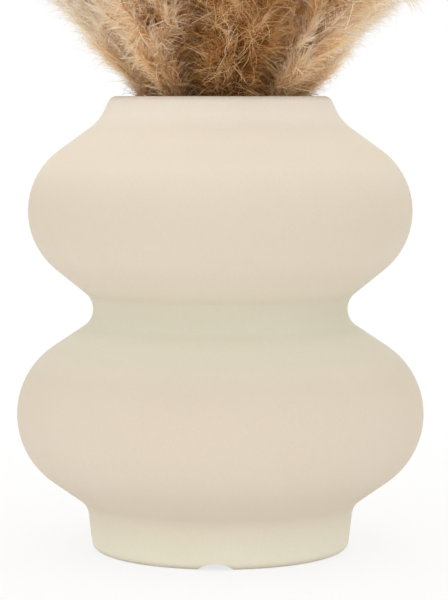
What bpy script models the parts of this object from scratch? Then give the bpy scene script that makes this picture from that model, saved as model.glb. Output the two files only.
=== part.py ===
"""Double-bellied ceramic vase holding a bunch of dried pampas grass.

Run with: blender --background --python part.py

Metres, +Z up. The origin is the middle of the foot, on the surface that the vase stands on. The front is -Y.
Thirteen stalks stand in the vase as a spiral bunch: each straight stem starts on the floor of the vase, passes
close to the axis at the waist, and comes out of the mouth on the other side, where its plume leans away.
"""

import math
from collections import namedtuple

import bmesh
import bpy
from mathutils import Vector

# ---- The vase ----------------------------------------------------------------------------------------------

# Its outer face runs like a belt over these circles, from the rim down. A circle lies inside the belt where the
# wall bulges, and outside it where the wall is hollow. reach is the distance of its centre from the axis.
Circle = namedtuple("Circle", "reach height radius bulges")
RIM_EDGE = Circle(0.0505, 0.2180, 0.0045, True)
NECK = Circle(0.0765, 0.2250, 0.0220, False)
UPPER_BELLY = Circle(0.0575, 0.1665, 0.0365, True)
WAIST = Circle(0.0730, 0.1185, 0.0105, False)
LOWER_BELLY = Circle(0.0610, 0.0670, 0.0390, True)
FOOT_COVE = Circle(0.0765, 0.0160, 0.0115, False)
FOOT_EDGE = Circle(0.0595, 0.0040, 0.0040, True)

WALL = 0.0060  # slip-cast wall, measured across it
RIM_HEIGHT = RIM_EDGE.height + RIM_EDGE.radius
LIP_ROUND = 0.0014  # rounding of the lip's inner edge
FLOOR_TOP = 0.0095  # the inside floor
FLOOR_ROUND = 0.0060  # rounding where the floor meets the wall
FLOOR_RUN = 0.0010  # the wall leans in this far between the foot's cove and that rounding
FOOT_RECESS = 0.0035  # how far the underside stands up inside the foot ring
FOOT_RING = 0.0075  # width of the flat ring that the vase stands on
RECESS_SLOPE = 0.0020  # how far the recess's side leans in

NOTCH_HEIGHT = 0.0034  # a shallow drain notch through the front of the foot ring
NOTCH_ROUND = 0.0125  # radius of its arch
NOTCH_SHIFT = -0.0022  # the notch is this far off the middle, along X
NOTCH_CUT = 3 * FOOT_RING  # the cutter runs past both faces of the ring

VASE_STEPS = 48
NOTCH_SIDES = 32
ARC_STEP = math.radians(17)  # the most that one side of a rounded stretch turns

# ---- The bunch ---------------------------------------------------------------------------------------------

# A ring is a set of equal stalks round the axis. at_mouth and at_floor are the ring's radii there, twist is how
# far a stem turns round the axis on its way up, length is the plume's and lean is its lean from upright at the
# tip. All lengths are in metres and angles in degrees.
Ring = namedtuple("Ring", "count first at_mouth at_floor twist length width tip_lean")
OUTER_RING = Ring(8, 0.0, 0.0335, 0.0490, 146.0, 0.285, 0.0335, 56.0)
INNER_RING = Ring(5, 18.0, 0.0145, 0.0175, 142.0, 0.312, 0.0225, 24.0)
RINGS = (OUTER_RING, INNER_RING)

BUNCH_SHIFT = 0.0020  # the bunch sits this far to the right in the mouth
PLUME_START = RIM_HEIGHT - 0.0040  # the lowest fluff is just inside the mouth
STEM_FOOT_RADIUS = 0.0021
STEM_TOP_RADIUS = 0.0016
STEM_SIDES = 8
GAP = 0.0003  # between pieces that touch

LENGTH_SPREAD = 0.07  # each plume's length differs by up to this share
LEAN_SPREAD = 4.0  # and its tip's lean by up to this, in degrees
LENGTH_DRAW = 4  # the fixed draws that the differences of length and lean are taken from
LEAN_DRAW = 5
LEAN_RISE = 0.55  # below 1, so most of the lean comes just above the rim
PLUME_BASE = 0.15  # the plume's radius at its base, as a share of its widest
PLUME_TIP = 0.14  # and at its tip
WIDEST_AT = 0.55  # where it is widest, as a share of its length
PLUME_POINTS = 15
PLUME_SIDES = 10

CERAMIC = ("matte_ceramic", (0.76, 0.69, 0.58), 0.85)
STRAW = ("dry_straw", (0.62, 0.47, 0.28), 0.70)
FLUFF = ("pampas_fluff", (0.66, 0.50, 0.34), 0.95)


# ---- Helpers -----------------------------------------------------------------------------------------------

def clear_scene():
    for obj in list(bpy.data.objects):
        bpy.data.objects.remove(obj, do_unlink=True)


def new_collection(name):
    found = bpy.data.collections.new(name)
    bpy.context.scene.collection.children.link(found)
    return found


def material(finish):
    """A Principled material for a finish (name, colour, roughness), made once."""
    name, colour, roughness = finish
    found = bpy.data.materials.get(name)
    if found is None:
        found = bpy.data.materials.new(name)
        found.use_nodes = True
        shader = found.node_tree.nodes["Principled BSDF"]
        shader.inputs["Base Color"].default_value = (*colour, 1.0)
        shader.inputs["Roughness"].default_value = roughness
        shader.inputs["Metallic"].default_value = 0.0
    return found


def add_object(name, data, finish, collection):
    obj = bpy.data.objects.new(name, data)
    if finish is not None:
        data.materials.append(material(finish))
    collection.objects.link(obj)
    return obj


# ---- Vase outline ------------------------------------------------------------------------------------------

def side(circle):
    """+1 for a circle inside the belt, -1 for one outside it."""
    return 1.0 if circle.bulges else -1.0


def belt_normal(upper, lower):
    """The belt's outward normal, as an angle from +X in the XZ plane, on the stretch between two circles."""
    run = Vector((lower.reach - upper.reach, lower.height - upper.height))
    along = run.normalized()
    across = Vector((-along.y, along.x))
    tilt = (side(upper) * upper.radius - side(lower) * lower.radius) / run.length
    normal = along * tilt + across * math.sqrt(1.0 - tilt * tilt)
    return math.atan2(normal.y, normal.x)


def arc(circle, start, end):
    """Points (x, z) on a circle between two of the belt's outward normals."""
    count = max(2, math.ceil(abs(end - start) / ARC_STEP))
    reach = side(circle) * circle.radius
    angles = [start + (end - start) * step / count for step in range(count + 1)]
    return [(circle.reach + reach * math.cos(a), circle.height + reach * math.sin(a)) for a in angles]


def belt(circles, first_normal, last_normal):
    """The outline that runs over the circles, as points (x, z) from the first to the last."""
    normals = [first_normal]
    normals += [belt_normal(upper, lower) for upper, lower in zip(circles, circles[1:])]
    normals.append(last_normal)
    points = []
    for circle, start, end in zip(circles, normals, normals[1:]):
        points += arc(circle, start, end)
    return points


def inner_face():
    """The inside of the wall, from the lip down to the floor: the outer circles moved in by the wall."""
    lip_reach = NECK.reach - NECK.radius - WALL
    lip = Circle(lip_reach + LIP_ROUND, RIM_HEIGHT - LIP_ROUND, LIP_ROUND, False)
    moved = []
    for circle in (NECK, UPPER_BELLY, WAIST, LOWER_BELLY, FOOT_COVE):
        moved.append(circle._replace(radius=circle.radius - side(circle) * WALL))
    floor_reach = FOOT_COVE.reach - FOOT_COVE.radius - WALL - FLOOR_ROUND - FLOOR_RUN
    floor_edge = Circle(floor_reach, FLOOR_TOP + FLOOR_ROUND, FLOOR_ROUND, True)
    mouth = moved[0]
    # The inner neck circle is cut off where the lip's rounding starts.
    start = math.asin((mouth.height - lip.height) / mouth.radius)
    wall = belt([*moved, floor_edge], start, -math.pi / 2)
    rounding = arc(lip, math.radians(-90), 0.0)
    return rounding + wall[1:]


def underside():
    """The foot from the inner edge of its flat ring to the axis."""
    ring_edge = FOOT_EDGE.reach - FOOT_RING
    return [(ring_edge, 0.0), (ring_edge - RECESS_SLOPE, FOOT_RECESS), (0.0, FOOT_RECESS)]


def vase_profile():
    """The wall's whole outline, from the middle of the floor up the inside, over the lip and down the outside."""
    inside = [(0.0, FLOOR_TOP)] + inner_face()[::-1]
    outer_circles = [RIM_EDGE, NECK, UPPER_BELLY, WAIST, LOWER_BELLY, FOOT_COVE, FOOT_EDGE]
    outside = belt(outer_circles, math.pi / 2, -math.pi / 2)
    return inside + outside + underside()


# ---- Vase --------------------------------------------------------------------------------------------------

def notch_cutter(collection):
    """A bar along Y that cuts the drain notch through the front of the foot ring."""
    mesh = bpy.data.meshes.new("drain_notch_cutter")
    shape = bmesh.new()
    bmesh.ops.create_cone(
        shape,
        cap_ends=True,
        segments=NOTCH_SIDES,
        radius1=NOTCH_ROUND,
        radius2=NOTCH_ROUND,
        depth=NOTCH_CUT,
    )
    shape.to_mesh(mesh)
    shape.free()
    cutter = add_object(mesh.name, mesh, None, collection)
    cutter.rotation_euler = (math.radians(90), 0.0, 0.0)
    middle_of_ring = FOOT_EDGE.reach - FOOT_RING / 2
    cutter.location = (NOTCH_SHIFT, -middle_of_ring, NOTCH_HEIGHT - NOTCH_ROUND)
    cutter.hide_render = True
    cutter.display_type = "WIRE"
    return cutter


def make_vase(parts, cutters):
    points = vase_profile()
    mesh = bpy.data.meshes.new("vase")
    edges = [(i, i + 1) for i in range(len(points) - 1)]
    mesh.from_pydata([(x, 0.0, z) for x, z in points], edges, [])
    vase = add_object("vase", mesh, CERAMIC, parts)

    turn = vase.modifiers.new("turn", "SCREW")
    turn.axis = "Z"
    turn.angle = math.tau
    turn.steps = VASE_STEPS
    turn.render_steps = VASE_STEPS
    turn.use_merge_vertices = True
    turn.merge_threshold = 0.00001
    turn.use_smooth_shade = True

    notch = vase.modifiers.new("drain_notch", "BOOLEAN")
    notch.operation = "DIFFERENCE"
    notch.solver = "EXACT"
    notch.object = notch_cutter(cutters)
    return vase


# ---- Stalks ------------------------------------------------------------------------------------------------

def variation(number, draw):
    """A fixed share from -1 to 1 that differs for each stalk and each draw."""
    golden = (math.sqrt(5) - 1) / 2
    return 2 * ((number * golden + draw * golden * golden) % 1.0) - 1


def on_ring(radius, degrees, height, shift=0.0):
    turn = math.radians(degrees)
    return Vector((radius * math.cos(turn) + shift, radius * math.sin(turn), height))


def stem_ends(ring, place):
    """Where a stem stands on the floor of the vase, and where its plume starts."""
    bearing = ring.first + place * 360.0 / ring.count
    foot_height = FLOOR_TOP + GAP + STEM_FOOT_RADIUS * 0.5
    foot = on_ring(ring.at_floor, bearing - ring.twist, foot_height)
    top = on_ring(ring.at_mouth, bearing, PLUME_START, BUNCH_SHIFT)
    return foot, top


def plume_path(ring, number, top, start_direction):
    """Points along a plume's axis. It goes on from its stem and leans over more and more under its own weight."""
    length = ring.length * (1 + LENGTH_SPREAD * variation(number, LENGTH_DRAW))
    first_lean = start_direction.angle(Vector((0.0, 0.0, 1.0)))
    last_lean = math.radians(ring.tip_lean + LEAN_SPREAD * variation(number, LEAN_DRAW))
    level = Vector((start_direction.x, start_direction.y, 0.0)).normalized()
    outward = Vector((top.x - BUNCH_SHIFT, top.y, 0.0)).normalized()
    step = length / (PLUME_POINTS - 1)
    points = [top + start_direction * GAP]
    for count in range(1, PLUME_POINTS):
        share = (count - 0.5) / (PLUME_POINTS - 1)
        lean = first_lean + (last_lean - first_lean) * share**LEAN_RISE
        heading = level.lerp(outward, min(1.0, 2 * share)).normalized()
        points.append(points[-1] + step * (Vector((0, 0, math.cos(lean))) + heading * math.sin(lean)))
    return points


def plume_share(share):
    """A plume's radius at a share of its length, as a share of its widest radius."""
    if share < WIDEST_AT:
        rise = math.sin(math.pi / 2 * share / WIDEST_AT)
        return PLUME_BASE + (1 - PLUME_BASE) * rise
    fall = (share - WIDEST_AT) / (1 - WIDEST_AT)
    return PLUME_TIP + (1 - PLUME_TIP) * math.cos(math.pi / 2 * fall)


def tube(name, points, radii, sides, finish, collection):
    """A closed round tube along the points, with a radius at each."""
    curve = bpy.data.curves.new(name, "CURVE")
    curve.dimensions = "3D"
    curve.twist_mode = "MINIMUM"
    curve.bevel_depth = 1.0
    curve.bevel_resolution = sides // 2 - 2
    curve.use_fill_caps = True
    spline = curve.splines.new("POLY")
    spline.points.add(len(points) - 1)
    for knot, point, radius in zip(spline.points, points, radii):
        knot.co = (*point, 1.0)
        knot.radius = radius
    return add_object(name, curve, finish, collection)


def make_stalk(ring, place, number, collection):
    """One stem and its plume."""
    foot, top = stem_ends(ring, place)
    direction = (top - foot).normalized()
    radii = (STEM_FOOT_RADIUS, STEM_TOP_RADIUS)
    tube(f"stem_{number:02d}", (foot, top), radii, STEM_SIDES, STRAW, collection)

    path = plume_path(ring, number, top, direction)
    widths = [ring.width * plume_share(i / (PLUME_POINTS - 1)) for i in range(PLUME_POINTS)]
    tube(f"plume_{number:02d}", path, widths, PLUME_SIDES, FLUFF, collection)


def main():
    clear_scene()
    parts = new_collection("vase_of_pampas_grass")
    cutters = new_collection("cutters")
    make_vase(parts, cutters)
    number = 0
    for ring in RINGS:
        for place in range(ring.count):
            number += 1
            make_stalk(ring, place, number, parts)


main()
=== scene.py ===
# %% [markdown]
# # A vase of pampas grass
#
# The object is a double-bellied stoneware vase that holds a loose, spreading bunch of dried pampas grass. The packed
# CAD model gives the frame: every piece made here is in metres, in the same place as the solid that it stands for.
# This file dresses that frame in four steps: the camera and light, the vase, the stalks and the fluff.

# %% Load the frame
import math
from collections import namedtuple

import bpy
import numpy as np
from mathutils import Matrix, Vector


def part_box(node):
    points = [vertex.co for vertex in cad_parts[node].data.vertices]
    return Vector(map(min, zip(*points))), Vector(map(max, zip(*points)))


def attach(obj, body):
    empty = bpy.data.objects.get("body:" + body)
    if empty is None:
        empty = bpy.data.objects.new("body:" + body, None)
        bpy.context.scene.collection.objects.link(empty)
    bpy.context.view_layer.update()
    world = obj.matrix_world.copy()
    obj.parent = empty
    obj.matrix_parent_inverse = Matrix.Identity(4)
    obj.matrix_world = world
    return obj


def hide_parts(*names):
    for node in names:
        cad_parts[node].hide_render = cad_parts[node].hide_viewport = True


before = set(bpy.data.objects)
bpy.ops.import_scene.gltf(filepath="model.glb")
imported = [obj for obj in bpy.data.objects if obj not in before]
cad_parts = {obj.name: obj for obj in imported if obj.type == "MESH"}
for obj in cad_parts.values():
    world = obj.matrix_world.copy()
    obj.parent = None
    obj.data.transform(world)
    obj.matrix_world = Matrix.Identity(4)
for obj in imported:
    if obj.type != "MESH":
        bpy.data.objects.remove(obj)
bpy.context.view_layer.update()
MM = 0.001
print("frame loaded:", len(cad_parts), "nodes")

# %% [markdown]
# ## Camera
#
# The camera stands level with the rim of the vase, so the rim shows as a straight line, and looks slightly down. It
# is a long lens from 1.2 m away, as for a catalogue picture, because that keeps the two bellies in true proportion.
# It is close enough that the frame cuts off all of the bunch but the lowest fluff.

# %% Camera
RIM_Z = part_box("vase")[1].z
CAMERA_DISTANCE = 1.20
CAMERA_ASIDE = 1.8 * MM  # it stands this far to the right of the vase's axis
CAMERA_TILT = math.radians(4.76)  # and looks down by this much
SENSOR = 36.0
LENS = 146.96  # in millimetres, as the sensor is

camera_data = bpy.data.cameras.new("catalogue_camera")
camera_data.lens = LENS
camera_data.sensor_width = SENSOR
camera = bpy.data.objects.new("catalogue_camera", camera_data)
camera.location = (CAMERA_ASIDE, -CAMERA_DISTANCE, RIM_Z)
camera.rotation_euler = (math.pi / 2 - CAMERA_TILT, 0.0, 0.0)
bpy.context.scene.collection.objects.link(camera)
bpy.context.scene.camera = camera
bpy.context.scene.view_settings.view_transform = "Standard"
print("camera at", tuple(round(v, 3) for v in camera.location))

# %% [markdown]
# ## Helpers for materials
#
# Colours are written as sRGB hex values, the way a paint chart gives them, and one function turns them into the
# linear values that Blender's shaders want. One small function adds a node, sets its values and links its inputs,
# so that a whole material reads from top to bottom as a recipe.

# %% Colours and nodes
def hex_colour(text):
    """An sRGB hex value such as "#e4d7c6" as linear red, green, blue and an alpha of 1."""
    values = [int(text[i:i + 2], 16) / 255 for i in (1, 3, 5)]
    return [v / 12.92 if v <= 0.04045 else ((v + 0.055) / 1.055) ** 2.4 for v in values] + [1.0]


def add_node(tree, kind, inputs=(), **settings):
    """Adds a node. inputs maps a socket's name or number to a value or to another node's output socket."""
    node = tree.nodes.new(kind)
    for name, value in settings.items():
        setattr(node, name, value)
    for name, value in dict(inputs).items():
        if isinstance(value, bpy.types.NodeSocket):
            tree.links.new(value, node.inputs[name])
        else:
            node.inputs[name].default_value = value
    return node


def set_ramp(node, stops, blend="LINEAR"):
    """Sets a colour ramp's stops from (position, hex colour) pairs."""
    node.color_ramp.interpolation = blend
    elements = node.color_ramp.elements
    while len(elements) < len(stops):
        elements.new(1.0)
    for element, (position, colour) in zip(elements, stops):
        element.position = position
        element.color = hex_colour(colour)


def new_material(name):
    """A material with only an output node, and its node tree."""
    material = bpy.data.materials.new(name)
    material.use_nodes = True
    material.node_tree.nodes.clear()
    return material, material.node_tree


def close_material(tree, shader):
    """Joins the finished shader to the material's output."""
    tree.links.new(shader.outputs[0], add_node(tree, "ShaderNodeOutputMaterial").inputs["Surface"])


WHITE = hex_colour("#ffffff")
print("white is", WHITE)

# %% [markdown]
# ## Light and floor
#
# A plain studio: a white room gives nearly all of the light, from every side. One wide, weak softbox in front, half a
# metre up and a little to the left, makes the side that faces the camera slightly brighter than the far side. The
# floor and the room are white to the camera. To all other rays the floor is matt white paper, so it sends soft light
# up under the bellies, and a share of its true shading stays in view as the object's shadow.

# %% Room light
ROOM_STRENGTH = 1.165
world = bpy.data.worlds.new("white_room")
world.use_nodes = True
bpy.context.scene.world = world
room = world.node_tree
room.nodes.clear()
paths = add_node(room, "ShaderNodeLightPath")
seen = add_node(room, "ShaderNodeMath", {0: paths.outputs["Is Camera Ray"], 1: paths.outputs["Is Glossy Ray"]},
                operation="MAXIMUM")
seen = add_node(room, "ShaderNodeMath", {0: seen.outputs[0], 1: paths.outputs["Is Transmission Ray"]},
                operation="MAXIMUM")
lit = add_node(room, "ShaderNodeBackground", {"Color": WHITE, "Strength": ROOM_STRENGTH})
shown = add_node(room, "ShaderNodeBackground", {"Color": WHITE, "Strength": 1.0})
both = add_node(room, "ShaderNodeMixShader", {0: seen.outputs[0], 1: lit.outputs[0], 2: shown.outputs[0]})
room.links.new(both.outputs[0], add_node(room, "ShaderNodeOutputWorld").inputs["Surface"])
print("room light", ROOM_STRENGTH)

# %% Softbox
SOFTBOX_PLACE = Vector((-0.5, -2.2, 0.5))
SOFTBOX_AIM = Vector((0.0, 0.0, 0.2))
SOFTBOX_SIZE = (1.6, 0.9)
SOFTBOX_WATTS = 4.8

softbox_data = bpy.data.lights.new("softbox_front", "AREA")
softbox_data.shape = "RECTANGLE"
softbox_data.size, softbox_data.size_y = SOFTBOX_SIZE
softbox_data.energy = SOFTBOX_WATTS
softbox = bpy.data.objects.new("softbox_front", softbox_data)
softbox.location = SOFTBOX_PLACE
softbox.rotation_euler = (SOFTBOX_AIM - SOFTBOX_PLACE).to_track_quat("-Z", "Y").to_euler()
bpy.context.scene.collection.objects.link(softbox)
print("softbox", SOFTBOX_WATTS, "W,", round((SOFTBOX_AIM - SOFTBOX_PLACE).length, 2), "m away")

# %% Floor
FLOOR_RADIUS = 30.0
FLOOR_SIDES = 96
FLOOR_SHADING = 0.25  # the share of the floor's true shading that the camera sees
FLOOR_GLOW = 1.0  # the rest is this bright, so that the two together come to white

turns = np.linspace(0, math.tau, FLOOR_SIDES, endpoint=False)
floor_mesh = bpy.data.meshes.new("paper_floor")
floor_mesh.from_pydata(
    [(FLOOR_RADIUS * math.cos(a), FLOOR_RADIUS * math.sin(a), 0.0) for a in turns], [], [range(FLOOR_SIDES)]
)
floor = bpy.data.objects.new("paper_floor", floor_mesh)
bpy.context.scene.collection.objects.link(floor)

paper, tree = new_material("matt_white_paper")
paths = add_node(tree, "ShaderNodeLightPath")
plain = add_node(tree, "ShaderNodeBsdfDiffuse", {"Color": hex_colour("#f2f2f2")})
glow = add_node(tree, "ShaderNodeEmission", {"Color": WHITE, "Strength": FLOOR_GLOW})
share = add_node(tree, "ShaderNodeMath", {0: paths.outputs["Is Camera Ray"], 1: 1.0 - FLOOR_SHADING},
                 operation="MULTIPLY")
mixed = add_node(tree, "ShaderNodeMixShader", {0: share.outputs[0], 1: plain.outputs[0], 2: glow.outputs[0]})
close_material(tree, mixed)
floor_mesh.materials.append(paper)
print("floor radius", FLOOR_RADIUS)

# %% [markdown]
# ## The vase
#
# The real vase is stoneware, slip-cast in a mould, with a matt off-white glaze. It is one continuous wall that is
# round in every section, so it is a turned shape: one outline and a Screw modifier. The outline is a belt over
# circles, as a potter's template is drawn, and it is the same as the CAD solid's but with finer steps, so that the
# bellies have no facets. The belt touches each circle where the wall bulges from inside, and where it is hollow from
# outside.

# %% Circles under the belt
# From the rim down, in metres: how far a circle's centre lies from the axis, its height and its radius.
Circle = namedtuple("Circle", "reach height radius bulges")
RIM_EDGE = Circle(0.0505, 0.2180, 0.0045, True)
NECK = Circle(0.0765, 0.2250, 0.0220, False)
UPPER_BELLY = Circle(0.0575, 0.1665, 0.0365, True)
WAIST = Circle(0.0730, 0.1185, 0.0105, False)
LOWER_BELLY = Circle(0.0610, 0.0670, 0.0390, True)
FOOT_COVE = Circle(0.0765, 0.0160, 0.0115, False)
FOOT_EDGE = Circle(0.0595, 0.0040, 0.0040, True)
print("upper belly", round((UPPER_BELLY.reach + UPPER_BELLY.radius) / MM), "mm from the axis, lower belly",
      round((LOWER_BELLY.reach + LOWER_BELLY.radius) / MM), "mm")

# %% The belt
ARC_STEP = math.radians(6)  # the most that one side of a rounded stretch turns


def side(circle):
    return 1.0 if circle.bulges else -1.0


def belt_normal(upper, lower):
    """The belt's outward normal, as an angle in the XZ plane, on the stretch between two circles."""
    run = Vector((lower.reach - upper.reach, lower.height - upper.height))
    along = run.normalized()
    across = Vector((-along.y, along.x))
    tilt = (side(upper) * upper.radius - side(lower) * lower.radius) / run.length
    normal = along * tilt + across * math.sqrt(1.0 - tilt * tilt)
    return math.atan2(normal.y, normal.x)


def arc(circle, start, end):
    """Points of the belt where it lies on a circle, between two angles of its normal."""
    count = max(2, math.ceil(abs(end - start) / ARC_STEP))
    reach = side(circle) * circle.radius
    angles = [start + (end - start) * step / count for step in range(count + 1)]
    return [(circle.reach + reach * math.cos(a), circle.height + reach * math.sin(a)) for a in angles]


def belt(circles, first_normal, last_normal):
    """The whole belt over the circles, with its normal at both ends."""
    normals = [belt_normal(upper, lower) for upper, lower in zip(circles, circles[1:])]
    normals = [first_normal, *normals, last_normal]
    return [point for circle, start, end in zip(circles, normals, normals[1:]) for point in arc(circle, start, end)]


outer_face = belt([RIM_EDGE, NECK, UPPER_BELLY, WAIST, LOWER_BELLY, FOOT_COVE, FOOT_EDGE], math.pi / 2, -math.pi / 2)
print("outer face", len(outer_face), "points")

# %% The inside and the foot
WALL = 6.0 * MM  # slip-cast wall, measured across it
LIP_ROUND = 1.4 * MM  # rounding of the lip's inner edge
FLOOR_TOP = 9.5 * MM  # the inside floor
FLOOR_ROUND = 6.0 * MM  # rounding where the floor meets the wall
FLOOR_RUN = 1.0 * MM  # the wall leans in this far between the foot's cove and that rounding
FOOT_RECESS = 3.5 * MM  # how far the underside stands up inside the foot ring
FOOT_RING = 7.5 * MM  # width of the flat ring that the vase stands on
RECESS_SLOPE = 2.0 * MM  # how far the recess's side leans in


def inner_face():
    """The inside of the wall, from the lip down to the floor: the outer circles moved in by the wall."""
    lip_reach = NECK.reach - NECK.radius - WALL
    lip = Circle(lip_reach + LIP_ROUND, RIM_Z - LIP_ROUND, LIP_ROUND, False)
    outer = (NECK, UPPER_BELLY, WAIST, LOWER_BELLY, FOOT_COVE)
    moved = [circle._replace(radius=circle.radius - side(circle) * WALL) for circle in outer]
    floor_reach = FOOT_COVE.reach - FOOT_COVE.radius - WALL - FLOOR_ROUND - FLOOR_RUN
    floor_edge = Circle(floor_reach, FLOOR_TOP + FLOOR_ROUND, FLOOR_ROUND, True)
    start = math.asin((moved[0].height - lip.height) / moved[0].radius)
    return arc(lip, math.radians(-90), 0.0) + belt([*moved, floor_edge], start, -math.pi / 2)[1:]


ring_edge = FOOT_EDGE.reach - FOOT_RING
outline = [(0.0, FLOOR_TOP)] + inner_face()[::-1] + outer_face
outline += [(ring_edge, 0.0), (ring_edge - RECESS_SLOPE, FOOT_RECESS), (0.0, FOOT_RECESS)]
print("outline points", len(outline), "widest", round(2000 * max(x for x, _ in outline), 1), "mm")

# %% Turn the outline
VASE_STEPS = 144
SAME_POINT = 0.01 * MM  # points on the axis closer together than this become one


def add_mesh_object(name, mesh):
    obj = bpy.data.objects.new(name, mesh)
    bpy.context.scene.collection.objects.link(obj)
    return obj


vase_mesh = bpy.data.meshes.new("vase_stoneware")
vase_mesh.from_pydata([(x, 0.0, z) for x, z in outline], [(i, i + 1) for i in range(len(outline) - 1)], [])
vase = add_mesh_object("vase_stoneware", vase_mesh)
turn = vase.modifiers.new("turn", "SCREW")
turn.axis = "Z"
turn.steps = turn.render_steps = VASE_STEPS
turn.use_merge_vertices = True
turn.merge_threshold = SAME_POINT
turn.use_smooth_shade = True
print("turned in", VASE_STEPS, "steps")

# %% Cut the drain notch
NOTCH_HEIGHT = 3.4 * MM  # a shallow notch through the front of the foot ring
NOTCH_ROUND = 12.5 * MM  # radius of its arch
NOTCH_SHIFT = -2.2 * MM  # it is this far off the middle
NOTCH_SIDES = 64
NOTCH_CUT = 3 * FOOT_RING  # the cutter runs past both faces of the ring
SHARP = math.radians(35)  # an edge that turns more than this stays crisp

bpy.ops.mesh.primitive_cylinder_add(vertices=NOTCH_SIDES, radius=NOTCH_ROUND, depth=NOTCH_CUT)
cutter = bpy.context.object
cutter.rotation_euler = (math.pi / 2, 0.0, 0.0)
cutter.location = (NOTCH_SHIFT, -(FOOT_EDGE.reach - FOOT_RING / 2), NOTCH_HEIGHT - NOTCH_ROUND)
notch = vase.modifiers.new("drain_notch", "BOOLEAN")
notch.operation = "DIFFERENCE"
notch.solver = "EXACT"
notch.object = cutter
bpy.context.view_layer.update()
shaped = bpy.data.meshes.new_from_object(vase.evaluated_get(bpy.context.evaluated_depsgraph_get()))
vase.modifiers.clear()
vase.data = shaped
bpy.data.objects.remove(cutter)
shaped.set_sharp_from_angle(angle=SHARP)
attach(vase, "root")
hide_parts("vase")
print("vase faces", len(shaped.polygons))

# %% [markdown]
# ### Matt glaze on stoneware
#
# A matt glaze is full of tiny crystals that scatter light, so it has almost no shine: its roughness is high and its
# colour is chalky. Its colour by the height on the wall is the glaze's off-white with painted light and shade in it:
# paler bands under the bellies, at the foot and at the shoulder, and a darker, greener one at the waist. The ramp's
# stops are joined by a smooth curve, as glaze has no edges. A very fine mottle comes from the clay under it, and a
# faint bump from the mould and the sprayed glaze.

# %% Glaze colour and painted shade
# The glaze's off-white with painted light and shade by height: paler under the bellies, at the foot and shoulder,
# darker at the waist.
GLAZE_AND_PAINTED_SHADE_BY_HEIGHT = (  # a share of the height, and the colour there
    (0.00, "#eae5d6"),  # foot
    (0.05, "#e3dfcd"),  # top of the foot
    (0.09, "#dfd7c7"),  # hollow over the foot
    (0.13, "#e1d7c8"),  # under the lower belly
    (0.38, "#d4c9b9"),  # top of the lower belly
    (0.48, "#d9d5c5"),  # under the waist
    (0.53, "#d3cebd"),  # waist
    (0.59, "#e2dacb"),  # under the upper belly
    (0.73, "#d6cbbb"),  # upper belly
    (0.82, "#dcd3c3"),  # top of the upper belly
    (0.91, "#eee7da"),  # shoulder
    (1.00, "#e3dbd0"),  # rim
)
MOTTLE = 1.2 * MM  # speckle of the clay; real specks are a few tenths of a millimetre, too fine to show
CLOUD = 40 * MM  # broad clouds, where the glaze is thicker or thinner
FACTOR, FIRST, SECOND, MIXED = 0, 6, 7, 2  # a Mix node's sockets, where it mixes colours

glaze, tree = new_material("matte_stoneware_glaze")
place = add_node(tree, "ShaderNodeTexCoord")
height = add_node(tree, "ShaderNodeSeparateXYZ", {0: place.outputs["Object"]})
level = add_node(tree, "ShaderNodeMapRange", {"Value": height.outputs["Z"], "From Min": 0.0, "From Max": RIM_Z})
# The ramp paints light and shade by height into the glaze's own off-white.
glaze_and_painted_shade = add_node(tree, "ShaderNodeValToRGB", {"Fac": level.outputs[0]})
set_ramp(glaze_and_painted_shade, GLAZE_AND_PAINTED_SHADE_BY_HEIGHT, blend="CARDINAL")
mottle = add_node(tree, "ShaderNodeTexNoise", {
    "Vector": place.outputs["Object"], "Scale": 1 / MOTTLE, "Detail": 3.0,
})
speckled = add_node(tree, "ShaderNodeMix", {
    FACTOR: mottle.outputs[0], FIRST: hex_colour("#f8f6f3"), SECOND: WHITE,
}, data_type="RGBA")
toned = add_node(tree, "ShaderNodeMix", {
    FACTOR: 1.0, FIRST: glaze_and_painted_shade.outputs[0], SECOND: speckled.outputs[MIXED],
}, data_type="RGBA", blend_type="MULTIPLY")
clouds = add_node(tree, "ShaderNodeTexNoise", {
    "Vector": place.outputs["Object"], "Scale": 1 / CLOUD, "Detail": 2.0,
})
cloudy = add_node(tree, "ShaderNodeMix", {
    FACTOR: clouds.outputs[0], FIRST: hex_colour("#fbfaf6"), SECOND: WHITE,
}, data_type="RGBA")
coloured = add_node(tree, "ShaderNodeMix", {
    FACTOR: 1.0, FIRST: toned.outputs[MIXED], SECOND: cloudy.outputs[MIXED],
}, data_type="RGBA", blend_type="MULTIPLY")
print("glaze colours", len(GLAZE_AND_PAINTED_SHADE_BY_HEIGHT))

# %% Glaze surface
GRAIN, GRAIN_DEPTH = 0.8 * MM, 0.06 * MM  # faint bumps of the sprayed glaze, drawn wide enough to show

grain = add_node(tree, "ShaderNodeTexNoise", {
    "Vector": place.outputs["Object"], "Scale": 1 / GRAIN, "Detail": 2.0,
})
relief = add_node(tree, "ShaderNodeBump", {
    "Strength": 0.25, "Distance": GRAIN_DEPTH, "Height": grain.outputs[0],
})
surface = add_node(tree, "ShaderNodeBsdfPrincipled", {
    "Base Color": coloured.outputs[MIXED], "Roughness": 0.82, "IOR": 1.5, "Specular IOR Level": 0.3,
    "Normal": relief.outputs[0],
})
close_material(tree, surface)
shaped.materials.clear()
shaped.materials.append(glaze)
print("glaze on", vase.name)

# %% [markdown]
# ## The stalks
#
# Each stalk of pampas grass is a stiff, straw-dry stem that goes on into a long, soft flower head. The stems keep
# their CAD solids. Each flower head is made as it grows: one central axis, over two hundred side branches that leave
# it at a narrow angle and arch outward, and thousands of silky hairs on the branches. The axis runs where the CAD
# plume's centre runs, so its course is worked out here by the same rule.

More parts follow.
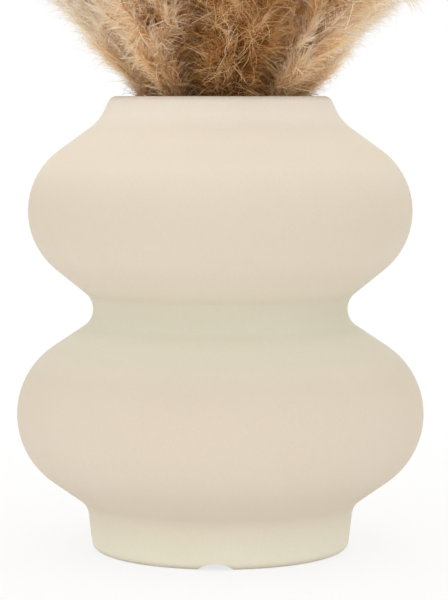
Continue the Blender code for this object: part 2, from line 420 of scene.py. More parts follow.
# %% Rings of stalks
# In metres and degrees: how many stalks, the first one's bearing, the ring's radius at the mouth and on the floor,
# how far a stem turns round the axis on its way up, the plume's length and widest radius, and its lean at the tip.
Ring = namedtuple("Ring", "count first at_mouth at_floor twist length width tip_lean")
OUTER_RING = Ring(8, 0.0, 0.0335, 0.0490, 146.0, 0.285, 0.0335, 56.0)
INNER_RING = Ring(5, 18.0, 0.0145, 0.0175, 142.0, 0.312, 0.0225, 24.0)
BUNCH_SHIFT = 2.0 * MM  # the bunch sits this far to the right in the mouth
PLUME_START = RIM_Z - 4.0 * MM  # the lowest fluff is just inside the mouth
STEM_FOOT_Z = FLOOR_TOP + 1.35 * MM  # the middle of a leaning stem's foot stands this far over the inside floor


def variation(number, draw):
    """A fixed number between -1 and 1 for each plume and draw, so that no two plumes are alike."""
    golden = (math.sqrt(5) - 1) / 2
    return 2 * ((number * golden + draw * golden * golden) % 1.0) - 1


def on_ring(radius, degrees, height, shift=0.0):
    turn = math.radians(degrees)
    return np.array([radius * math.cos(turn) + shift, radius * math.sin(turn), height])


print("stalks", OUTER_RING.count, "in the outer ring and", INNER_RING.count, "in the inner one")

# %% The middle of a plume
LENGTH_SPREAD, LENGTH_DRAW = 0.07, 4  # each plume's length differs by up to this share
LEAN_SPREAD, LEAN_DRAW = 4.0, 5  # and its tip's lean by up to this, in degrees
LEAN_RISE = 0.55  # below 1, so most of the lean comes just above the rim
PATH_STEPS = 112


def unit(vectors):
    return vectors / np.linalg.norm(vectors, axis=-1, keepdims=True)


def plume_axis(ring, place, number):
    """Points along the middle of a plume, from where it leaves its stem to its tip."""
    bearing = ring.first + place * 360.0 / ring.count
    foot = on_ring(ring.at_floor, bearing - ring.twist, STEM_FOOT_Z)
    top = on_ring(ring.at_mouth, bearing, PLUME_START, BUNCH_SHIFT)
    leaving = unit(top - foot)
    first = math.acos(leaving[2])
    last = math.radians(ring.tip_lean + LEAN_SPREAD * variation(number, LEAN_DRAW))
    level, outward = unit(leaving[:2]), unit(top[:2] - (BUNCH_SHIFT, 0.0))
    length = ring.length * (1 + LENGTH_SPREAD * variation(number, LENGTH_DRAW))
    points = [top]
    for count in range(PATH_STEPS):
        share = (count + 0.5) / PATH_STEPS
        lean = first + (last - first) * share ** LEAN_RISE
        turned = min(1.0, 2 * share)
        heading = unit(level * (1 - turned) + outward * turned)
        step = np.array([*(heading * math.sin(lean)), math.cos(lean)])
        points.append(points[-1] + step * length / PATH_STEPS)
    return np.array(points)


print("first plume's tip", round(plume_axis(OUTER_RING, 0, 1)[-1, 2] / MM), "mm above the floor")

# %% The outline of a plume
PLUME_BASE, PLUME_TIP = 0.15, 0.14  # its radius at its two ends, as a share of its widest
WIDEST_AT = 0.55  # where it is widest, as a share of its length


def envelope(share):
    """The fluff's radius at a share of a plume's length, as a share of its widest radius."""
    share = np.clip(share, 0.0, 1.0)
    rise = np.sin(np.pi / 2 * np.minimum(1.0, share / WIDEST_AT))
    fall = np.clip((share - WIDEST_AT) / (1 - WIDEST_AT), 0.0, 1.0)
    return np.where(share < WIDEST_AT, PLUME_BASE + (1 - PLUME_BASE) * rise,
                    PLUME_TIP + (1 - PLUME_TIP) * np.cos(np.pi / 2 * fall))


print("radius at the base, the middle and the tip", [round(float(envelope(share)), 2) for share in (0.0, 0.5, 1.0)])

# %% All plumes
Plume = namedtuple("Plume", "number path tangent across second width length")


def framed(number, path, width):
    """A plume's axis with two directions across it at every point, which turn as little as they can."""
    tangent = unit(np.gradient(path, axis=0))
    across = [unit(np.cross(tangent[0], (0.0, 0.0, 1.0)))]
    for direction in tangent[1:]:
        carried = across[-1] - direction * np.dot(across[-1], direction)
        across.append(unit(carried))
    across = np.array(across)
    length = np.linalg.norm(np.diff(path, axis=0), axis=1).sum()
    return Plume(number, path, tangent, across, np.cross(tangent, across), width, length)


plumes = []
for ring in (OUTER_RING, INNER_RING):
    for place in range(ring.count):
        number = len(plumes) + 1
        plumes.append(framed(number, plume_axis(ring, place, number), ring.width))
off = max(abs(plume.path[-1, 2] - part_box(f"plume_{plume.number:02d}")[1].z) for plume in plumes)
print("plumes", len(plumes), "tips within", round(off / MM, 1), "mm of the solids'")

# %% [markdown]
# ### Side branches
#
# A pampas plume's side branches start all along its axis, about a golden angle apart round it. Each runs up beside
# the axis, then arches out to the plume's outline and nods at its tip. They are short, close together and splayed
# wide at the bottom, where the florist pushed the bunch into the vase and the lowest ones spread over the rim.
#
# A bunch that is gathered at a mouth no longer looks like separate plumes there. Whatever stands out of a cone over
# the mouth is laid down along the cone. Most branches keep next to nothing of what stood out, and a few keep all of
# it, so that loose wisps stay. The cone has slow waves round it, because a hand never gathers evenly, and it lets go
# higher up.
#
# Every branch also has a tone, which its hairs take on. It differs from one branch to the next, and it is painted
# paler on the side of a plume that faces out of the bunch than on the side that faces in, which is painted browner as
# shade where the plumes crowd together.

# %% Reading a plume at any share of its length
def sampled(rows, share):
    """Rows of a plume's table, such as its path, read at shares of its length."""
    at = np.clip(share, 0.0, 1.0) * (len(rows) - 1)
    low = np.minimum(at.astype(int), len(rows) - 2)
    part = (at - low)[..., None]
    return rows[low] * (1 - part) + rows[low + 1] * part


halfway = sampled(plumes[0].path, np.array([0.5]))[0]
print("first plume halfway up", [round(float(v) / MM) for v in halfway], "mm")

# %% The cone over the mouth
GATHER_REACH, GATHER_SLOPE = 35 * MM, 1.0  # the cone that the mouth gathers the bunch into
GATHER_WAVES = ((4, 12 * MM, 3.5 * MM), (9, 7 * MM, 2.5 * MM))  # turns round it, run upwards and height of a wave
GATHER_FULL, GATHER_END = 30 * MM, 75 * MM  # heights over the rim up to which the cone holds in full, and at all
HAIR_KEEP = 0.85  # how much of what stands out of the cone a hair keeps


def gathered(points, keep):
    """Lays whatever stands out of the cone over the mouth down along the cone."""
    across = points[..., :2] - (BUNCH_SHIFT, 0.0)
    level = points[..., 2] - RIM_Z
    reach = np.linalg.norm(across, axis=-1)
    cone = GATHER_REACH + GATHER_SLOPE * np.maximum(level, 0.0)
    bearing = np.arctan2(across[..., 1], across[..., 0])
    for turns, run, tall in GATHER_WAVES:
        cone = cone + tall * np.clip(level / GATHER_FULL, 0.0, 1.0) * np.sin(turns * bearing + level / run)
    over = np.maximum(reach - cone, 0.0)
    hold = np.clip((GATHER_END - level) / (GATHER_END - GATHER_FULL), 0.0, 1.0)
    scale = 1.0 - (1.0 - keep) * hold * over / np.maximum(reach, MM)
    points[..., :2] = across * scale[..., None] + (BUNCH_SHIFT, 0.0)
    return points


print("the cone is", round((GATHER_REACH + GATHER_SLOPE * GATHER_FULL) / MM), "mm wide each way,",
      round(GATHER_FULL / MM), "mm over the rim")

# %% Growing branches
BRANCH_STEPS = 5
GOLDEN_TURN = math.pi * (3 - math.sqrt(5))
TURN_JITTER = 0.5  # a branch leaves the axis up to this far off its place round it, in radians
SIDE_BEND = 0.6  # and bends up to this far sideways
RUN_RANGE = (0.7, 1.25)  # the shortest and the longest run, as shares of the usual one
ARCH = 0.15  # a branch runs this much less along the axis as it arches out
TOP_SHARE, TOP_TAPER = 0.995, 0.03  # no tip goes past this share of its plume, nor a foot past this much less
FILL_RANGE, FILL_POWER = (0.35, 1.0), 0.8  # how near the tips come to the outline; below 1, most come close
RISE_POWER = 0.9  # how fast a branch leaves the axis
NOD_RANGE = (0.4, 1.2)  # how far a tip hangs, as a share of the usual
PRESSED_REACH = 11 * MM  # in the mouth the plumes are pressed together, and their lowest fluff fills it
BRANCH_KEEP, FREE_POWER = 0.08, 3  # most branches keep this share of what stands out of the cone, and a few keep all
LOCK_SPREAD = 0.15  # how much the tone differs between one branch and the next
# Painted light and shade: branches are paler on a plume's side that faces out of the bunch, browner on the side
# facing in.
PAINTED_SIDE_SHADE = 0.12  # how much paler or browner than its plume the outer or inner side is
CREAM = 0.85  # the tone that only hair of the palest plumes goes past
DARKEST = 0.05  # no branch is browner
UNEVEN, EVEN_TONE = 1.25, 1.1
Branches = namedtuple("Branches", "points outward tone")


def unevenness(tone):
    """Bleached hair is the most even in colour, and straw-brown hair the least."""
    return UNEVEN * (EVEN_TONE - tone)


def grow_branches(plume, starts, runs, fill, nod, tone, chance):
    """Side branches, one row each. runs are their lengths as shares of the plume's, fill is how near their tips come
    to the outline, and nod how far a tip hangs, in metres."""
    count = len(starts)
    t = np.linspace(0.0, 1.0, BRANCH_STEPS + 1)[None, :]
    turn = (np.arange(count) * GOLDEN_TURN + chance.uniform(-TURN_JITTER, TURN_JITTER, count))[:, None]
    turn = turn + t * chance.uniform(-SIDE_BEND, SIDE_BEND, count)[:, None]
    share = starts[:, None] + (runs * chance.uniform(*RUN_RANGE, count))[:, None] * (t - ARCH * t * t)
    share = np.minimum(share, TOP_SHARE - TOP_TAPER * (1.0 - t))
    tip = (fill * chance.uniform(*FILL_RANGE, count) ** FILL_POWER)[:, None]
    limit = np.maximum(plume.width * envelope(share), PRESSED_REACH)
    reach = limit * tip * np.sin(np.pi / 2 * t) ** RISE_POWER
    outward = np.cos(turn)[..., None] * sampled(plume.across, share)
    outward = unit(outward + np.sin(turn)[..., None] * sampled(plume.second, share))
    below = (np.minimum(share, 0.0) * plume.length)[..., None]
    points = sampled(plume.path, share) + sampled(plume.tangent, share) * below + outward * reach[..., None]
    points[..., 2] -= (nod * chance.uniform(*NOD_RANGE, count))[:, None] * t * t
    away = unit((sampled(plume.path, share[:, -1]) - (BUNCH_SHIFT, 0.0, 0.0)) * (1.0, 1.0, 0.0))
    palest = np.maximum(tone, CREAM)
    # painted shade on the inner side of a plume, painted light on its outer side
    own = np.clip(tone + PAINTED_SIDE_SHADE * (outward[:, -1] * away).sum(1), DARKEST, 1.0)
    tone = own + chance.normal(0.0, LOCK_SPREAD, count) * unevenness(own)
    keep = BRANCH_KEEP + (1.0 - BRANCH_KEEP) * chance.uniform(0.0, 1.0, count)[:, None] ** FREE_POWER
    return Branches(gathered(points, keep), outward, np.clip(tone, DARKEST, palest))


print("a branch has", BRANCH_STEPS + 1, "points, and the next one is", round(math.degrees(GOLDEN_TURN), 1),
      "degrees further round")

# %% [markdown]
# ### Hairs
#
# The silk of the plume is its hairs. Each is finer than a tenth of a millimetre and they cling together in wisps, so
# one strip of mesh stands for a small wisp. A strip that narrows to a point and follows an arc is the cheapest shape
# that still looks like a hair from any side when thousands of them lie across each other. Hairs near the rim, which
# are seen closest, are fine and have more bends, and those higher up are broader.
#
# A strip's flat side faces roughly away from the plume's axis, as combed fur lies, so the plume takes the light as
# one soft body. The hairs of one branch share a direction in part, as a lock does: the more they share it, the more
# combed the plume looks, and the less, the more tangled. Every strip carries a map of two numbers: how pale the whole
# wisp is, and how far along it a point lies. The finish reads both, so a wisp can be dark at its root and pale at its
# tip.

# %% Hairs off the rim
MOUTH_REACH = NECK.reach - NECK.radius - WALL - LIP_ROUND
RIM_GAP = 0.5 * MM


def off_the_rim(points):
    """Lifts what would sink into the rim, so that the lowest hairs lie on it."""
    reach = np.hypot(points[..., 0], points[..., 1])
    over = (reach > MOUTH_REACH) & (points[..., 2] < RIM_Z + RIM_GAP)
    points[..., 2] = np.where(over, RIM_Z + RIM_GAP, points[..., 2])
    return points


print("hairs are lifted from", round(MOUTH_REACH / MM, 1), "mm off the axis")

# %% Growing hairs
OUT_START, OUT_BEND = 0.5, 0.6  # how much hairs start away from the plume's axis, and bend away from it
OPEN_FOOT, OPEN_LESS = 1.3, 0.9  # hairs open wide at a branch's foot, and this much less at its tip
OPEN_MEAN, OPEN_SPREAD = 0.75, 0.45  # shares of open_at, over all hairs
TURN_RANGE = (0.3, 1.7)  # the straightest and the most bent hair
LENGTH_RANGE, TIP_SHORTER = (0.55, 1.3), 0.2  # the shortest and the longest, and how much less at a branch's tip
FLAT_JITTER = 0.7  # how far the strips' flat sides are turned out of line
STRIP_TAPER = 0.6  # a strip's width at its last bend, as a share of that at its root
# Painted shade and light: hairs deep in the fluff, low on a branch, are painted darker, those at its outer end paler.
DEPTH_SHADE_AND_EDGE_LIGHT, EVEN_AT = 0.40, 0.6  # hairs get paler towards a branch's tip, and match it this far along
PALEST = 0.16  # no hair is paler than its branch by more than this, nor paler than cream if its branch is not
MAP_LOW, MAP_HIGH = 0.01, 0.99  # no tone lies on the very edge of the map


# A set's tone shift is up for paler hair, and down for painted shade on hair deep in the bunch.
def grow_hair(branches, chance, *, count, length, width, bends, open_at, turn, droop, spread, together=0.0,
              paleness_and_shade=0.0, lowest=0.02):
    """Hairs on branches: their centre lines, the direction of their flat side, their half widths and their tones.
    open_at is the angle between a hair and its branch in degrees, turn the angle that its arc turns through, and
    together how much the hairs of one branch lie the same way, as a combed lock does. lowest is where on a branch
    the first hair grows, as a share of its length."""
    steps = branches.points.shape[1] - 1
    owner = chance.integers(0, len(branches.points), count)
    t = lowest + (1.0 - lowest) * np.sqrt(chance.uniform(0.0, 1.0, count))
    low = np.minimum((t * steps).astype(int), steps - 1)
    part = (t * steps - low)[:, None]
    near, far = branches.points[owner, low], branches.points[owner, low + 1]
    outward = branches.outward[owner, low]
    root = near * (1 - part) + far * part
    along = unit(far - near)
    lock = chance.normal(size=(2, len(branches.points), 3))
    loose = (1 - together) * chance.normal(size=(count, 3)) + together * lock[0][owner] + OUT_START * outward
    across = unit(loose - along * (loose * along).sum(1, keepdims=True))
    opening = open_at * (OPEN_FOOT - OPEN_LESS * t) * np.abs(chance.normal(OPEN_MEAN, OPEN_SPREAD, count))
    angle = np.radians(opening)[:, None]
    start = along * np.cos(angle) + across * np.sin(angle)
    towards = (1 - together) * chance.normal(size=(count, 3)) + together * lock[1][owner]
    towards = towards + OUT_BEND * outward - np.array([0.0, 0.0, droop])
    towards = unit(towards - start * (towards * start).sum(1, keepdims=True))
    swing = np.radians(turn * chance.uniform(*TURN_RANGE, count))[:, None, None]
    reach = (length * chance.uniform(*LENGTH_RANGE, count) * (1.0 - TIP_SHORTER * t))[:, None, None]
    u = np.linspace(0.0, 1.0, bends + 1)[None, :, None]
    arc_points = start[:, None] * np.sin(swing * u) + towards[:, None] * (1.0 - np.cos(swing * u))
    points = root[:, None] + reach * arc_points / swing
    flat = unit(np.cross(start, outward + FLAT_JITTER * chance.normal(size=(count, 3))))
    half = width / 2 * np.array([1.0, *np.linspace(1.0, STRIP_TAPER, bends)[1:]])
    own = branches.tone[owner]
    # The tone paints shade deep in the fluff and light at the outline, on top of each set's shift and chance.
    tone = own + (paleness_and_shade + DEPTH_SHADE_AND_EDGE_LIGHT * (t - EVEN_AT) + chance.normal(0.0, spread, count)) * unevenness(own)
    tone = np.clip(tone, MAP_LOW, np.minimum(own + PALEST, np.clip(own, CREAM, MAP_HIGH)))
    return off_the_rim(gathered(points, HAIR_KEEP)), flat, half, tone


print("a hair may be paler than its branch by", PALEST, "of the way from brown to white")

# %% Strips of mesh
MAP_NAME = "OFBake"
MAP_HALF_WIDTH = 0.004  # a strip's two edges lie this far apart on the map, so that it has some area


def map_of(tone, u, v):
    """Each piece's place on the map: its tone from left to right, and the way along it upwards."""
    return np.stack([tone[:, None] + u[None, :], np.broadcast_to(v, (len(tone), len(v)))], -1).reshape(-1, 2)


def strip_faces(points, flat, half, tone):
    """Corners, faces and map of strips that end in a point."""
    count, bends = points.shape[0], points.shape[1] - 1
    sides = flat[:, None] * half[None, :, None]
    pairs = np.stack([points[:, :-1] - sides, points[:, :-1] + sides], 2).reshape(count, 2 * bends, 3)
    corners = np.concatenate([pairs, points[:, -1:]], 1)
    rows = [[2 * k, 2 * k + 1, 2 * k + 3, 2 * k + 2] for k in range(bends - 1)]
    rows.append([2 * bends - 2, 2 * bends - 1, 2 * bends])
    pattern = np.array([i for row in rows for i in row])
    sizes = np.tile([len(row) for row in rows], count)
    loops = (pattern[None, :] + np.arange(count)[:, None] * (2 * bends + 1)).ravel()
    v = np.append(np.repeat(np.arange(bends) / bends, 2), 1.0)
    u = np.append(np.tile([-1.0, 1.0], bends), 0.0) * MAP_HALF_WIDTH
    return corners.reshape(-1, 3), loops, sizes, map_of(tone, u[pattern], v[pattern])


print("strips are mapped by", MAP_NAME)

# %% One mesh from many parts
def mesh_from_parts(name, parts):
    """One mesh of several (corners, loops, sizes, map) sets."""
    corners = np.concatenate([part[0] for part in parts])
    starts = np.cumsum([0] + [len(part[0]) for part in parts[:-1]])
    loops = np.concatenate([part[1] + start for part, start in zip(parts, starts)])
    sizes = np.concatenate([part[2] for part in parts])
    mesh = bpy.data.meshes.new(name)
    mesh.vertices.add(len(corners))
    mesh.vertices.foreach_set("co", corners.astype(np.float32).ravel())
    mesh.loops.add(len(loops))
    mesh.loops.foreach_set("vertex_index", loops.astype(np.int32))
    mesh.polygons.add(len(sizes))
    mesh.polygons.foreach_set("loop_start", np.concatenate([[0], np.cumsum(sizes)[:-1]]).astype(np.int32))
    mesh.update(calc_edges=True)
    layer = mesh.uv_layers.new(name=MAP_NAME)
    layer.data.foreach_set("uv", np.concatenate([part[3] for part in parts]).astype(np.float32).ravel())
    mesh.shade_smooth()
    return mesh


print("a part is a set of corners, loops, sizes and map points")

# %% Twigs
ACROSS_HINT = (0.31, 0.17, 0.93)  # any direction will do that no branch runs along


def tube_faces(paths, radii, sides, tones):
    """The same kind of set for round, tapering tubes that end in a point."""
    count, steps = paths.shape[0], paths.shape[1] - 1
    tangent = unit(np.gradient(paths, axis=1))
    first = unit(np.cross(tangent, ACROSS_HINT))
    second = np.cross(tangent, first)
    turn = np.arange(sides) * math.tau / sides
    ring = np.cos(turn)[:, None] * first[:, :, None] + np.sin(turn)[:, None] * second[:, :, None]
    rings = paths[:, :-1, None] + ring[:, :-1] * radii[None, :-1, None, None]
    corners = np.concatenate([rings.reshape(count, steps * sides, 3), paths[:, -1:]], 1)
    rows = [list(range(sides))[::-1]]
    for k in range(steps):
        for i in range(sides):
            a, b = k * sides + i, k * sides + (i + 1) % sides
            if k < steps - 1:
                rows.append([a, b, b + sides, a + sides])
            else:
                rows.append([a, b, steps * sides])
    pattern = np.array([i for row in rows for i in row])
    loops = (pattern[None, :] + np.arange(count)[:, None] * (steps * sides + 1)).ravel()
    v = np.append(np.repeat(np.arange(steps) / steps, sides), 1.0)
    u = np.append(np.tile(np.cos(turn), steps), 0.0) * MAP_HALF_WIDTH
    sizes = np.tile([len(row) for row in rows], count)
    return corners.reshape(-1, 3), loops, sizes, map_of(tones, u[pattern], v[pattern])


print("a twig of", BRANCH_STEPS, "steps and 3 sides has", 3 * (2 * BRANCH_STEPS - 1) + 1, "triangles")

# %% [markdown]
# ### Dry silk
#
# Pampas hairs are almost pure cellulose: clear, silky and without pigment, so they look whitish at their tips, and
# the dried husks at their roots give the warm straw brown behind them. A hair is so thin that about half of the light
# goes through it. That makes the plume glow softly and keeps its shadows warm, so the finish is half a matt surface
# and half a translucent one. Thousands of hairs look matt from afar, so there is almost no shine.

# %% Hair finish
hair_silk, tree = new_material("dry_pampas_silk")
own_map = add_node(tree, "ShaderNodeUVMap", uv_map=MAP_NAME)
parts_of_map = add_node(tree, "ShaderNodeSeparateXYZ", {0: own_map.outputs[0]})
tone_ramp = add_node(tree, "ShaderNodeValToRGB", {"Fac": parts_of_map.outputs["X"]})
set_ramp(tone_ramp, [
    (0.0, "#93612e"), (0.25, "#cf9c60"), (0.5, "#f1ce96"),  # husk brown, straw, cream
    (0.75, "#feedd0"), (0.9, "#fffaf1"), (1.0, "#ffffff"),  # bleached
])
along_ramp = add_node(tree, "ShaderNodeValToRGB", {"Fac": parts_of_map.outputs["Y"]})
set_ramp(along_ramp, [(0.0, "#e8cba0"), (0.18, "#fefaf2"), (0.5, "#ffffff")])
hair_colour = add_node(tree, "ShaderNodeMix", {
    FACTOR: 1.0, FIRST: tone_ramp.outputs[0], SECOND: along_ramp.outputs[0],
}, data_type="RGBA", blend_type="MULTIPLY")
silk = add_node(tree, "ShaderNodeBsdfPrincipled", {
    "Base Color": hair_colour.outputs[MIXED], "Roughness": 0.7, "Specular IOR Level": 0.08,
})
shine_through = add_node(tree, "ShaderNodeBsdfTranslucent", {"Color": hair_colour.outputs[MIXED]})
thin_silk = add_node(tree, "ShaderNodeMixShader", {0: 0.5, 1: silk.outputs[0], 2: shine_through.outputs[0]})
close_material(tree, thin_silk)
print("hair finish", hair_silk.name)

# %% [markdown]
# ### Dry straw
#
# The stalk inside a plume and its side branches are the same grass as the stems, dried to straw. They are as thin as
# thread, and hair hides most of them, so a plain colour by tone is enough: there is no room for fibres to show.

# %% Straw finish
straw, tree = new_material("dry_pampas_straw")
own_map = add_node(tree, "ShaderNodeUVMap", uv_map=MAP_NAME)
parts_of_map = add_node(tree, "ShaderNodeSeparateXYZ", {0: own_map.outputs[0]})
tone_ramp = add_node(tree, "ShaderNodeValToRGB", {"Fac": parts_of_map.outputs["X"]})
set_ramp(tone_ramp, [(0.0, "#a07a4c"), (0.5, "#c49e6c"), (1.0, "#dcc097")])
straw_surface = add_node(tree, "ShaderNodeBsdfPrincipled", {"Base Color": tone_ramp.outputs[0], "Roughness": 0.6})
close_material(tree, straw_surface)
print("straw finish", straw.name)

# %% [markdown]
# ### One plume after another
#
# A plume's hairs come in sets, from the inside out. Near the mouth they are short ones pressed every way and
# under-hair, both painted browner as shade deep in the bunch, then locks that lie together, loose curls, and fine
# wisps that run on past their branches' ends as pointed tufts. Higher up they are a broad cover, longer silk that
# hangs over a little, and a fine halo at the branches' ends that softens the outline. The paler and smoother plumes
# stand at the sides of the bunch, and the brownest, most tangled one in the middle of its front: part of that
# difference is painted light at the sides and painted shade in the middle.

# %% How plumes differ
BUNCH_TONE, BUNCH_SHARE = 0.80, 0.68  # higher up, where the sun bleached them, the plumes are more alike
MOUTH_BROWN_AND_SHADE, MOUTH_SHARE = 0.04, 0.48  # the lowest branches come this near to this brown: partly their own colour, partly painted shade
BLEACH_POWER, MOUTH_POWER = 7, 2.5  # how late the bleaching starts, and how soon the mouth's brown ends
# No two plumes dry to the same colour: from 0, straw brown, to 1, bleached. Part of the difference is painted: the
# side plumes are paler as painted light, and the middle ones browner as painted shade.
PLUME_TONES_AND_SHADE = (1.00, 0.98, 0.60, 0.94, 0.98, 0.73, 0.25, 0.79, 0.58, 0.46, 0.52, 0.50, 0.44)
# Nor is their hair equally smooth: from 0, combed, to 1, tangled.
PLUME_TANGLES = (0.2, 0.3, 0.7, 0.3, 0.1, 0.45, 0.9, 0.45, 0.5, 0.5, 0.5, 0.5, 0.5)
# The low hair of the inner plumes lies behind the outer ring's, so it is thinner.
Growth = namedtuple("Growth", "pressed under locks loose wisps cover silk halo")
OUTER_GROWTH = Growth(2000, 6000, 4500, 2200, 2400, 8500, 3200, 6500)
INNER_GROWTH = Growth(1200, 3000, 1500, 400, 500, 9500, 4200, 6500)
print("wisps on an outer plume", sum(OUTER_GROWTH), "and on an inner one", sum(INNER_GROWTH))

# %% Branches of a plume
NEAR_BRANCHES, FAR_BRANCHES = 110, 120
NEAR_START, NEAR_END = -0.04, 0.24  # where the near branches start, as shares of the plume's length
NEAR_RUN, NEAR_LONGER = 0.11, 0.08  # the lowest branch's run, and how much longer the last near one's is
FAR_START, FAR_SPAN = 0.20, 0.73  # where the far ones start, and over how much of the length
FAR_RUN, FAR_SHORTER = 0.18, 0.12  # the first far one's run, and how much shorter the last one's is


def plume_branches(plume, tone, chance):
    """The branches near the mouth and the far ones."""
    high_tone = tone + (BUNCH_TONE - tone) * BUNCH_SHARE
    low = np.linspace(0.0, 1.0, NEAR_BRANCHES)
    low_tone = tone + (high_tone - tone) * low ** BLEACH_POWER
    # Painted shade: the lowest branches, in the mouth, are painted browner.
    low_tone = low_tone + (MOUTH_BROWN_AND_SHADE - tone) * MOUTH_SHARE * (1.0 - low) ** MOUTH_POWER
    near = grow_branches(plume, NEAR_START + (NEAR_END - NEAR_START) * low, NEAR_RUN + NEAR_LONGER * low,
                         fill=1.0, nod=1 * MM, tone=low_tone, chance=chance)
    high = np.linspace(0.0, 1.0, FAR_BRANCHES)
    far = grow_branches(plume, FAR_START + FAR_SPAN * high, FAR_RUN - FAR_SHORTER * high,
                        fill=1.04, nod=5 * MM, tone=high_tone, chance=chance)
    return near, far


print("branches on a plume", NEAR_BRANCHES + FAR_BRANCHES)

# %% Hairs of a plume
PRESSED_BRANCHES = 26  # the lowest branches, in the mouth, whose hairs are pressed every way


def plume_hairs(near, far, growth, tangle, chance):
    """All sets of hairs, from the inside out."""
    pressed = Branches(*(part[:PRESSED_BRANCHES] for part in near))
    return [
        # Painted shade: pressed hair, deep in the mouth, is painted browner than its branch.
        grow_hair(pressed, chance, count=growth.pressed, length=7 * MM, width=0.30 * MM, bends=1, open_at=150.0,
                  turn=30.0, droop=0.0, spread=0.15, paleness_and_shade=-0.30),
        # Painted shade: under-hair, deep among the branches, is painted browner than its branch.
        grow_hair(near, chance, count=growth.under, length=10 * MM, width=0.28 * MM, bends=1, open_at=40.0,
                  turn=30.0, droop=0.1, spread=0.15, together=0.3, paleness_and_shade=-0.22),
        grow_hair(near, chance, count=growth.locks, length=(17 + 5 * tangle) * MM, width=0.34 * MM, bends=3,
                  open_at=24.0 + 28.0 * tangle, turn=32.0 + 28.0 * tangle, droop=0.0, spread=0.20,
                  together=0.75 - 0.5 * tangle),
        grow_hair(near, chance, count=growth.loose, length=(14 + 7 * tangle) * MM, width=0.46 * MM, bends=5,
                  open_at=50.0 + 25.0 * tangle, turn=60.0 + 50.0 * tangle, droop=0.0, spread=0.12, paleness_and_shade=0.04),
        grow_hair(near, chance, count=growth.wisps, length=21 * MM, width=0.26 * MM, bends=1, open_at=15.0,
                  turn=25.0, droop=0.0, spread=0.10, together=0.85, paleness_and_shade=0.12, lowest=0.5),
        grow_hair(far, chance, count=growth.cover, length=17 * MM, width=0.64 * MM, bends=1, open_at=55.0, turn=25.0,
                  droop=0.3, spread=0.15, together=0.15),
        grow_hair(far, chance, count=growth.silk, length=20 * MM, width=0.56 * MM, bends=2, open_at=45.0, turn=45.0,
                  droop=0.4, spread=0.18, together=0.4, paleness_and_shade=0.05),
        grow_hair(far, chance, count=growth.halo, length=17 * MM, width=0.24 * MM, bends=1, open_at=60.0, turn=40.0,
                  droop=0.2, spread=0.10, together=0.1, paleness_and_shade=0.12, lowest=0.6),
    ]


print("the hairs of", PRESSED_BRANCHES, "branches are pressed every way")

# %% Meshes of a plume
SEED = 700  # each plume draws its own chances, so one can be changed and the others stay
AXIS_RADIUS, AXIS_TAPER, AXIS_TONE = 0.9 * MM, 0.25, 0.6
AXIS_SKIP, AXIS_SIDES = 8, 6  # the stalk's tube takes every eighth point of the path
TWIG_RADIUS, TWIG_TAPER, TWIG_SIDES = 0.20 * MM, 0.3, 3
FAR_TWIG = 1.5  # a far twig is this much thicker


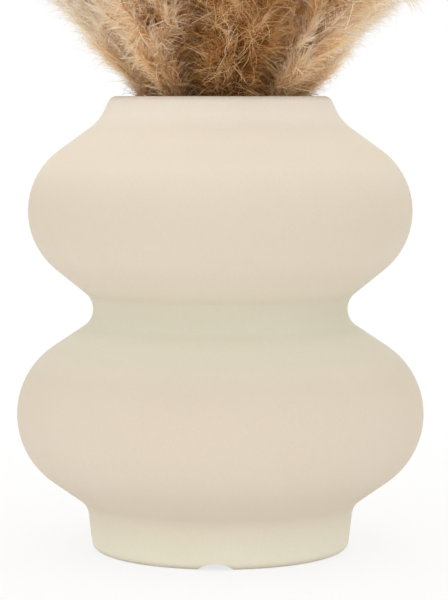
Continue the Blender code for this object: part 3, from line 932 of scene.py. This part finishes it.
def make_plume(plume):
    """A plume's fluff and the stalk inside it."""
    chance = np.random.default_rng(SEED + plume.number)
    tone, tangle = PLUME_TONES_AND_SHADE[plume.number - 1], PLUME_TANGLES[plume.number - 1]
    growth = OUTER_GROWTH if plume.number <= OUTER_RING.count else INNER_GROWTH
    near, far = plume_branches(plume, tone, chance)
    hairs = plume_hairs(near, far, growth, tangle, chance)

    name = f"fluff_{plume.number:02d}"
    fluff = add_mesh_object(name, mesh_from_parts(name, [strip_faces(*hair) for hair in hairs]))
    fluff.data.materials.append(hair_silk)
    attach(fluff, "root")
    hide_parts(f"plume_{plume.number:02d}")

    axis = plume.path[None, ::AXIS_SKIP]
    axis_radii = AXIS_RADIUS * np.linspace(1.0, AXIS_TAPER, axis.shape[1])
    twig_radii = TWIG_RADIUS * np.linspace(1.0, TWIG_TAPER, BRANCH_STEPS + 1)
    twigs = [
        tube_faces(axis, axis_radii, AXIS_SIDES, np.array([AXIS_TONE])),
        tube_faces(off_the_rim(near.points), twig_radii, TWIG_SIDES, near.tone),
        tube_faces(far.points, FAR_TWIG * twig_radii, TWIG_SIDES, far.tone),
    ]
    name = f"flower_stalk_{plume.number:02d}"
    stalk = add_mesh_object(name, mesh_from_parts(name, twigs))
    stalk.data.materials.append(straw)
    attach(stalk, "root")
    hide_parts(f"plume_{plume.number:02d}")
    return fluff, stalk


def triangles(obj):
    return len(obj.data.loops) - 2 * len(obj.data.polygons)


made = [obj for plume in plumes for obj in make_plume(plume)]
print("plume triangles", sum(triangles(obj) for obj in made), "most in one", max(triangles(obj) for obj in made))

# %% [markdown]
# ### Stems
#
# The stems below the flower heads are smooth, hollow straws with fine fibres that run from end to end. They keep
# their CAD solids. Their finish has no map to read, so it is laid out in the object's own space: noise that is
# stretched a long way up and down draws the fibres, because every stem stands nearly upright.

# %% Stem straw
FIBRE, FIBRE_RUN = 0.35 * MM, 14 * MM  # real fibres are finer: they are drawn wide enough to show
FIBRE_DEPTH = 0.05 * MM
STRETCH = 3  # a Mapping node's scale socket

stem_straw, tree = new_material("dry_stem_straw")
place = add_node(tree, "ShaderNodeTexCoord")
stretched = add_node(tree, "ShaderNodeMapping", {
    "Vector": place.outputs["Object"], STRETCH: (1 / FIBRE, 1 / FIBRE, 1 / FIBRE_RUN),
})
fibres = add_node(tree, "ShaderNodeTexNoise", {"Vector": stretched.outputs[0], "Scale": 1.0, "Detail": 2.0})
fibre_colour = add_node(tree, "ShaderNodeValToRGB", {"Fac": fibres.outputs[0]})
set_ramp(fibre_colour, [(0.3, "#9a7745"), (0.5, "#c19f69"), (0.7, "#dcc28f")])
fibre_relief = add_node(tree, "ShaderNodeBump", {
    "Strength": 0.3, "Distance": FIBRE_DEPTH, "Height": fibres.outputs[0],
})
stem_surface = add_node(tree, "ShaderNodeBsdfPrincipled", {
    "Base Color": fibre_colour.outputs[0], "Roughness": 0.5, "Normal": fibre_relief.outputs[0],
})
close_material(tree, stem_surface)
stems = [node for name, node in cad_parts.items() if name.startswith("stem_")]
for stem in stems:
    stem.data.materials.clear()
    stem.data.materials.append(stem_straw)
print("stems", len(stems))
